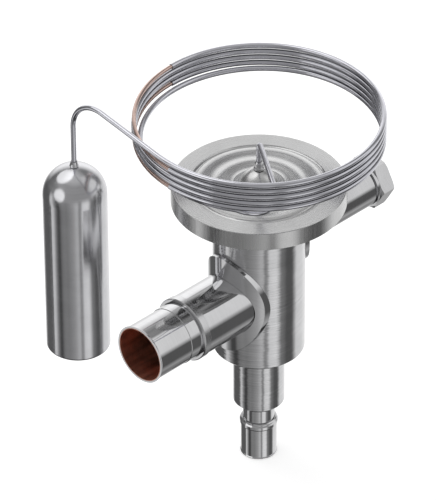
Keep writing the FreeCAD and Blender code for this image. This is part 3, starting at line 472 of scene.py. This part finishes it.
def ring_coordinates(tree, parts, around, across):
    """Coordinates in which noise is drawn out into rings round an axis."""
    first, second, along = parts
    flat = add(tree, "ShaderNodeCombineXYZ", {0: first, 1: second, 2: 0.0}).outputs[0]
    away = vector_maths(tree, "LENGTH", flat, result="Value")
    tilted = maths(tree, "MULTIPLY_ADD", away, RING_SLANT, along)
    spread = add(tree, "ShaderNodeCombineXYZ", {0: first, 1: second, 2: tilted})
    return vector_maths(tree, "MULTIPLY", spread.outputs[0], (around, around, across))


def noise(tree, vector, scale=1.0, detail=2.0, roughness=0.5):
    """The grey value of a noise texture."""
    return add(tree, "ShaderNodeTexNoise",
               {"Vector": vector, "Scale": scale, "Detail": detail,
                "Roughness": roughness}).outputs[0]


def spread_to(tree, value, low, high, start=NOISE_LOW, end=NOISE_HIGH):
    """A grey value stretched from start-end to low-high."""
    return add(tree, "ShaderNodeMapRange",
               {"Value": value, "From Min": start, "From Max": end,
                "To Min": low, "To Max": high}).outputs[0]


print("marks run round", list(AXES))

# %% [markdown]
# ## Turned, pressed and drawn steel
# All the steel here is one alloy, and what differs is how smooth it is and
# which way its marks run. So one function can make every kind. The ring noise
# drives the roughness, tints the colour a little and raises a bump of a few
# thousandths of a millimetre; coarser noises leave faint stains and let the
# surface waver, and where another surface is near, shade is painted into the
# colour. The helpers come first: one for the marks, one for the colour and its
# painted shade, and one for the unevenness that blurs and frays what is mirrored.

# %% Ring marks and a duller stretch
MARK_NOISE = {"detail": 3.0, "roughness": 0.6}
STEEP_RISE, FLAT_RISE = 0.45, 0.55


def ring_marks(tree, parts, around, across, sides):
    """Noise in rings; sides are the (around, across) of others on upright faces."""
    marks = noise(tree, ring_coordinates(tree, parts, around, across), **MARK_NOISE)
    if not sides:
        return marks
    upright = noise(tree, ring_coordinates(tree, parts, *sides), **MARK_NOISE)
    normal = add(tree, "ShaderNodeTexCoord").outputs["Normal"]
    rise = add(tree, "ShaderNodeSeparateXYZ", {0: normal}).outputs["Z"]
    return spread_to(tree, maths(tree, "ABSOLUTE", rise), upright, marks,
                     STEEP_RISE, FLAT_RISE)


def dulled(tree, roughness, along, band):
    """A roughness with more added between two places along the axis."""
    if not band:
        return roughness
    start, end, added = band
    inside = maths(tree, "MULTIPLY", maths(tree, "GREATER_THAN", along, start),
                   maths(tree, "LESS_THAN", along, end))
    return maths(tree, "MULTIPLY_ADD", inside, added, roughness)


print("marks are made of", MARK_NOISE)

# %% Tint, stains and painted shade in crevices
CREVICE_SAMPLES = 8
CREVICE_GREYS = (0.15, 1.0)
CREVICE_OPEN = (0.30, 0.85)


def shaded(tree, colour, marks, tint, stains, stain, crevice):
    """A colour tinted by marks and stains, with shade painted into it where another
    surface is near.
    """
    light = spread_to(tree, marks, 1 - tint, 1 + tint)
    dim = spread_to(tree, stains, 1 - stain, 1 + stain)
    shade = maths(tree, "MULTIPLY", light, dim)
    # Where another surface is near, ambient occlusion paints shade into the colour.
    if crevice:
        open_sky = add(tree, "ShaderNodeAmbientOcclusion", {"Distance": crevice},
                       samples=CREVICE_SAMPLES).outputs["AO"]
        painted_crevice_shade = spread_to(tree, open_sky, *CREVICE_GREYS, *CREVICE_OPEN)
        shade = maths(tree, "MULTIPLY", shade, painted_crevice_shade)
    return scaled(tree, colour, shade)


print("crevices are darkened to", CREVICE_GREYS[0])

# %% A surface that is not quite even
WAVER_NOISE = {"scale": 190.0, "detail": 1.0}
FRAY_NOISE = {"detail": 2.0, "roughness": 0.6}
FRAY_RINGS = (60.0, 3600.0)


def bumped(tree, height, distance, normal):
    """A normal tilted by a height that is so many metres deep."""
    return add(tree, "ShaderNodeBump",
               {"Height": height, "Strength": 1.0, "Distance": distance,
                "Normal": normal}).outputs[0]


def uneven(tree, spot, parts, marks, around_axis, waver, grooves, jitter):
    """The normal of a surface with slow waves, grooves and a fray round its axis."""
    normal = add(tree, "ShaderNodeNewGeometry").outputs["Normal"]
    if waver:
        normal = bumped(tree, noise(tree, spot, **WAVER_NOISE), waver, normal)
    if grooves:
        normal = bumped(tree, marks, grooves, normal)
    if jitter:
        fray = noise(tree, ring_coordinates(tree, parts, *FRAY_RINGS), **FRAY_NOISE)
        push = scaled(tree, around_axis, spread_to(tree, fray, -jitter, jitter))
        normal = vector_maths(
            tree, "NORMALIZE", vector_maths(tree, "ADD", normal, push))
    return normal


print("waves and frays:", WAVER_NOISE, FRAY_NOISE)

# %% One function for every metal
ALONG_MARKS = 0.25
STAIN_NOISE = {"detail": 4.0, "roughness": 0.55}


def make_metal(name, colour, rough, axis="Z", centre=(0, 0, 0), around=60.0,
               across=9000.0, grooves=0.0, tint=0.08, stain=0.04, stain_scale=140.0,
               waver=0.0, anisotropy=0.0, sides=None, band=None, jitter=0.0,
               crevice=0.0):
    """A metal with ring marks: rough is the (low, high) of its roughness.

    Sides are the (around, across) of other marks on the faces that stand upright, and
    band is the (start, end, added roughness) of a duller stretch along the axis.
    Waver and grooves are the depths of slow waves and of the marks. Jitter turns the
    surface to and fro round the axis, which frays the edges of mirrored bands.
    Crevice is how near another surface must be for shade to be painted into this one's
    colour.
    """
    material = bpy.data.materials.new(name)
    material.use_nodes = True
    tree = material.node_tree
    shader = tree.nodes["Principled BSDF"].inputs
    shader["Metallic"].default_value = 1.0
    shader["Anisotropic"].default_value = anisotropy
    shader["Anisotropic Rotation"].default_value = ALONG_MARKS
    spot = add(tree, "ShaderNodeTexCoord").outputs["Object"]
    around_axis = add(tree, "ShaderNodeTangent", direction_type="RADIAL",
                      axis=axis).outputs[0]
    parts = parts_of(tree, axis, centre)
    marks = ring_marks(tree, parts, around, across, sides)
    stains = noise(tree, spot, stain_scale, **STAIN_NOISE)
    wired = {
        "Roughness": dulled(tree, spread_to(tree, marks, *rough), parts[2], band),
        "Base Color": shaded(tree, colour, marks, tint, stains, stain, crevice),
        "Normal": uneven(tree, spot, parts, marks, around_axis, waver, grooves, jitter),
    }
    if anisotropy:
        wired["Tangent"] = around_axis
    for socket, value in wired.items():
        tree.links.new(value, shader[socket])
    return material


print("marks run at", ALONG_MARKS, "of a turn from the tangent")

# %% The metals
SPINDLE_CENTRE = (0, 0, 73.1 * MM)
OUTLET_CENTRE = (0, 0, 58.9 * MM)
BULB_CENTRE = (COIL_RADIUS, -BULB_OFFSET, 0)
STEEL = (0.66, 0.66, 0.67)
BRIGHT_STEEL = (0.70, 0.70, 0.71)
COPPER = (0.86, 0.46, 0.34)
BRASS = (0.72, 0.56, 0.30)
LOOKS = {
    "turned_steel": dict(
        colour=STEEL, rough=(0.06, 0.18), across=3500.0, grooves=2 * MICRON, tint=0.12,
        stain=0.06, waver=30 * MICRON, anisotropy=0.6, jitter=0.022, crevice=1.0 * MM),
    "bright_tube": dict(
        colour=BRIGHT_STEEL, rough=(0.03, 0.08), axis="X", centre=OUTLET_CENTRE,
        grooves=0.4 * MICRON, tint=0.04, waver=10 * MICRON,
        band=(28.6 * MM, 30.9 * MM, 0.18)),
    "bright_inlet": dict(
        colour=BRIGHT_STEEL, rough=(0.04, 0.10), grooves=0.4 * MICRON, tint=0.06,
        waver=10 * MICRON, jitter=0.008, crevice=0.6 * MM),
    "spun_head": dict(
        colour=(0.66, 0.66, 0.66), rough=(0.20, 0.31), around=8.0, across=2200.0,
        grooves=2.5 * MICRON, tint=0.08, anisotropy=0.75, sides=(2600.0, 60.0)),
    "spindle_steel": dict(
        colour=STEEL, rough=(0.06, 0.14), axis="X", centre=SPINDLE_CENTRE,
        grooves=1 * MICRON, tint=0.06),
    "bulb_steel": dict(
        colour=(0.68, 0.68, 0.70), rough=(0.14, 0.22), centre=BULB_CENTRE,
        grooves=0.6 * MICRON, tint=0.05, stain=0.05, anisotropy=0.5),
    "line_steel": dict(
        colour=(0.70, 0.70, 0.75), rough=(0.08, 0.15), across=2500.0, tint=0.03,
        stain=0.05, stain_scale=200.0, crevice=1.6 * MM),
    "bare_core": dict(
        colour=(0.70, 0.52, 0.46), rough=(0.12, 0.22), across=2500.0, tint=0.04,
        stain=0.14, stain_scale=300.0, crevice=1.6 * MM),
    "copper": dict(
        colour=COPPER, rough=(0.32, 0.46), axis="X", centre=OUTLET_CENTRE, around=700.0,
        across=50.0, tint=0.14, stain=0.10, stain_scale=420.0),
    "turned_brass": dict(colour=BRASS, rough=(0.2, 0.35), grooves=3 * MICRON),
    "spring_steel": dict(colour=(0.5, 0.5, 0.52), rough=(0.25, 0.4)),
}
metals = {name: make_metal(name, **look) for name, look in LOOKS.items()}
print("metals:", sorted(metals))

# %% [markdown]
# ## Black seal
# The cap's washer and the spindle's seal are soft and black; only the seal is
# given this material here. It hardly shows, but a plain black would look like a
# hole, so a fine noise breaks the sheen.

# %% The seal's material
SEAL_GRAIN = 3000.0
SEAL_SHEEN = 0.4
SEAL_ROUGH = (0.5, 0.75)
SEAL_GREYS = (0.03, 0.055)
seal = bpy.data.materials.new("black_seal")
seal.use_nodes = True
seal_tree = seal.node_tree
seal_shader = seal_tree.nodes["Principled BSDF"].inputs
seal_spot = add(seal_tree, "ShaderNodeTexCoord").outputs["Object"]
seal_noise = noise(seal_tree, seal_spot, SEAL_GRAIN)
seal_shader["Specular IOR Level"].default_value = SEAL_SHEEN
seal_rough = spread_to(seal_tree, seal_noise, *SEAL_ROUGH)
seal_tree.links.new(seal_rough, seal_shader["Roughness"])
seal_grey = spread_to(seal_tree, seal_noise, *SEAL_GREYS)
seal_tree.links.new(seal_grey, seal_shader["Base Color"])
print("seal ready")

# %% [markdown]
# ## Which piece wears which metal
# The solids keep their shapes, and only their material slots are filled. One
# table says it all, so a wrong finish is found by reading and not by hunting.

# %% Dress the pieces
dress = {
    "turned_steel": ["valve_body", "inlet_housing", "adjusting_spindle", "pressure_pad",
                     "push_pin", "valve_cone", "inlet_strainer", "line_collar"],
    "bright_inlet": ["inlet_socket"],
    "bright_tube": ["outlet_pipe", "outlet_socket", "outlet_saddle"],
    "spindle_steel": ["spindle_housing", "spindle_saddle", "seal_cap", "cap_washer"],
    "spun_head": ["head_upper_cover", "head_lower_cover", "diaphragm"],
    "bulb_steel": ["bulb", "bulb_ferrule"],
    "copper": ["inlet_socket_liner", "outlet_socket_liner"],
    "turned_brass": ["spindle_bush", "gland_nut", "guide_insert", "crown_gear",
                     "spring_seat", "orifice_seat"],
    "spring_steel": ["gear_clip"],
}
dressed = {node: metals[metal] for metal, group in dress.items() for node in group}
dressed["spindle_seal"] = seal
for node_name, material in dressed.items():
    node = nodes[node_name]
    node.data.materials.clear()
    node.data.materials.append(material)
for piece_name, piece in line_pieces.items():
    bare = piece_name.startswith("bare")
    piece.data.materials.append(metals["bare_core" if bare else "line_steel"])
for stretch in springs:
    stretch.data.materials.append(metals["spring_steel"])
covered = {part[2] for part in line_parts.values()}
covered |= {"cone_spring", "superheat_spring"}
undressed = set(nodes) - set(dressed) - covered
print("pieces with no finish:", sorted(undressed))

# %% [markdown]
# ## A pale floor
# The floor is one large sheet a hair below the valve. The camera sees it
# lifted to white, but it still takes the valve's shadow, because its own
# diffuse part stays. Mirrored rays pass through it, so that what the metal
# shows is the room's business alone.

# %% Lay the floor
FLOOR_HALF = 6.0
FLOOR_DROP = 0.2 * MM
FLOOR_GREY = 0.85
FLOOR_LIFT = 0.52
scene.view_settings.view_transform = "Standard"
shape = bmesh.new()
bmesh.ops.create_grid(shape, x_segments=1, y_segments=1, size=FLOOR_HALF)
bmesh.ops.translate(shape, verts=shape.verts, vec=(0, 0, -FLOOR_DROP))
floor_mesh = bpy.data.meshes.new("floor")
shape.to_mesh(floor_mesh)
shape.free()
floor = bpy.data.objects.new("floor", floor_mesh)
scene.collection.objects.link(floor)
floor.visible_glossy = False
floor_material = bpy.data.materials.new("pale_floor")
floor_material.use_nodes = True
floor_tree = floor_material.node_tree
floor_tree.nodes.clear()
seen = add(floor_tree, "ShaderNodeLightPath").outputs["Is Camera Ray"]
lift = maths(floor_tree, "MULTIPLY", seen, FLOOR_LIFT)
glow = add(floor_tree, "ShaderNodeEmission", {"Color": (1, 1, 1, 1), "Strength": lift})
matt = add(floor_tree, "ShaderNodeBsdfDiffuse",
           {"Color": (FLOOR_GREY, FLOOR_GREY, FLOOR_GREY, 1)})
total = add(floor_tree, "ShaderNodeAddShader", {0: matt.outputs[0], 1: glow.outputs[0]})
add(floor_tree, "ShaderNodeOutputMaterial", {"Surface": total.outputs[0]})
floor_mesh.materials.append(floor_material)
print("floor ready")

# %% [markdown]
# ## A room that polished metal can mirror
# Chrome in an all-white room looks like fog. Studios hang dark and grey cards
# round the object, and the metal mirrors them as bands. They could be built
# as planes, but the room's own colour does it with less: one ramp of greys
# goes round below the horizon, where upright walls look, and a second above
# it, where domes and flat tops look. Straight overhead is one even grey, a
# bright glow stands behind the valve for the flat rings of the head, and
# straight below it is dark. Only mirrored rays see all this; the camera sees
# white, and everything else is lit by one soft grey.

# %% Grey bands round the room
WORLD_LIGHT = 0.62
HORIZON = (-0.15, 0.10)
OVERHEAD = (0.80, 0.97)
OVERHEAD_GREY = 0.55
BEHIND = (0.58, 0.92)
BEHIND_GREY = 1.25
BELOW = (-0.86, -0.63)
BELOW_GREY = 0.12
LOW_BANDS = [
    (-180, 0.95), (-160, 0.85), (-148, 0.35), (-140, 0.12), (-97, 0.12), (-92, 0.70),
    (-83, 0.75), (-75, 0.32), (-64, 0.07), (-56, 0.07), (-49, 0.22), (-38, 0.26),
    (-30, 0.24), (-18, 0.30), (-6, 0.38), (4, 0.54), (10, 0.58), (16, 0.26), (21, 0.36),
    (27, 0.80), (44, 0.88), (50, 0.66), (57, 0.24), (66, 0.19), (74, 0.11), (92, 0.11),
    (99, 0.40), (108, 0.85), (130, 0.85), (150, 0.95), (180, 0.95),
]
HIGH_BANDS = [
    (-180, 0.45), (-155, 0.22), (-125, 0.16), (-100, 0.22), (-60, 0.34), (0, 0.34),
    (55, 0.34), (72, 0.68), (82, 0.82), (108, 0.82), (120, 0.24), (155, 0.24),
    (180, 0.45),
]


def ramp(tree, value, bands):
    """Greys along a half turn to each side of the camera, from (turn, grey) pairs."""
    node = add(tree, "ShaderNodeValToRGB", {"Fac": value})
    stops = node.color_ramp.elements
    while len(stops) < len(bands):
        stops.new(0.5)
    for stop, (turn, grey) in zip(stops, bands):
        stop.position = (turn + 180) / 360
        stop.color = (grey, grey, grey, 1)
    return node.outputs["Color"]


print("bands:", len(LOW_BANDS), "low and", len(HIGH_BANDS), "high")

# %% The room's colour
room = bpy.data.worlds.new("banded_room")
room.use_nodes = True
scene.world = room
room_tree = room.node_tree
room_tree.nodes.clear()
incoming = add(room_tree, "ShaderNodeNewGeometry").outputs["Incoming"]
flat_toward = way_to(AZIMUTH, 0)


def toward(way):
    """How far the ray into the room points a given way."""
    back = -Vector(way)
    return vector_maths(room_tree, "DOT_PRODUCT", incoming, back, result="Value")


def mixed(share, low, high):
    """From low to high as the share goes from nothing to all."""
    return spread_to(room_tree, share, low, high, 0.0, 1.0)


turned = maths(room_tree, "ARCTAN2", toward(camera_right), toward(flat_toward))
turn_share = spread_to(room_tree, turned, 0.0, 1.0, -math.pi, math.pi)
height = toward((0, 0, 1))
risen = spread_to(room_tree, height, 0.0, 1.0, *HORIZON)
above = spread_to(room_tree, height, 0.0, 1.0, *OVERHEAD)
behind = spread_to(room_tree, toward(-flat_toward), 0.0, BEHIND_GREY, *BEHIND)
below = spread_to(room_tree, height, BELOW_GREY, 1.0, *BELOW)
ceiling = mixed(above, ramp(room_tree, turn_share, HIGH_BANDS), OVERHEAD_GREY)
upper = maths(room_tree, "MAXIMUM", ceiling, behind)
banded = mixed(risen, ramp(room_tree, turn_share, LOW_BANDS), upper)
mirrored_grey = maths(room_tree, "MULTIPLY", banded, below)
rays = add(room_tree, "ShaderNodeLightPath").outputs
mirrored = maths(room_tree, "MAXIMUM",
                 rays["Is Glossy Ray"], rays["Is Transmission Ray"])
plain_grey = mixed(rays["Is Camera Ray"], WORLD_LIGHT, 1.0)
backdrop = add(room_tree, "ShaderNodeBackground",
               {"Color": (1, 1, 1, 1),
                "Strength": mixed(mirrored, plain_grey, mirrored_grey)})
add(room_tree, "ShaderNodeOutputWorld", {"Surface": backdrop.outputs[0]})
print("room nodes:", len(room_tree.nodes))

# %% [markdown]
# ## Soft lamps
# One wide lamp high on the left, a little behind the valve, gives form. A
# lower one on the left, nearer the camera, gives the domes their white spots.
# Wide lamps far off keep every shadow soft.

# %% Light the valve
def hang_lamp(name, turn, height, distance, size, power):
    """A round lamp that faces the valve; its turn from the camera is in degrees."""
    way = way_to(AZIMUTH + math.radians(turn), math.radians(height))
    lamp_data = bpy.data.lights.new(name, "AREA")
    lamp_data.shape = "DISK"
    lamp_data.size = size
    lamp_data.energy = power
    lamp = bpy.data.objects.new(name, lamp_data)
    lamp.location = MIDDLE + way * distance
    lamp.rotation_euler = (-way).to_track_quat("-Z", "Y").to_euler()
    scene.collection.objects.link(lamp)
    print(name, "at", [round(v, 2) for v in lamp.location])


hang_lamp("lamp_over", turn=-115, height=57, distance=1.5, size=1.4, power=4.6)
hang_lamp("lamp_left", turn=-58, height=13, distance=1.5, size=1.1, power=2.4)
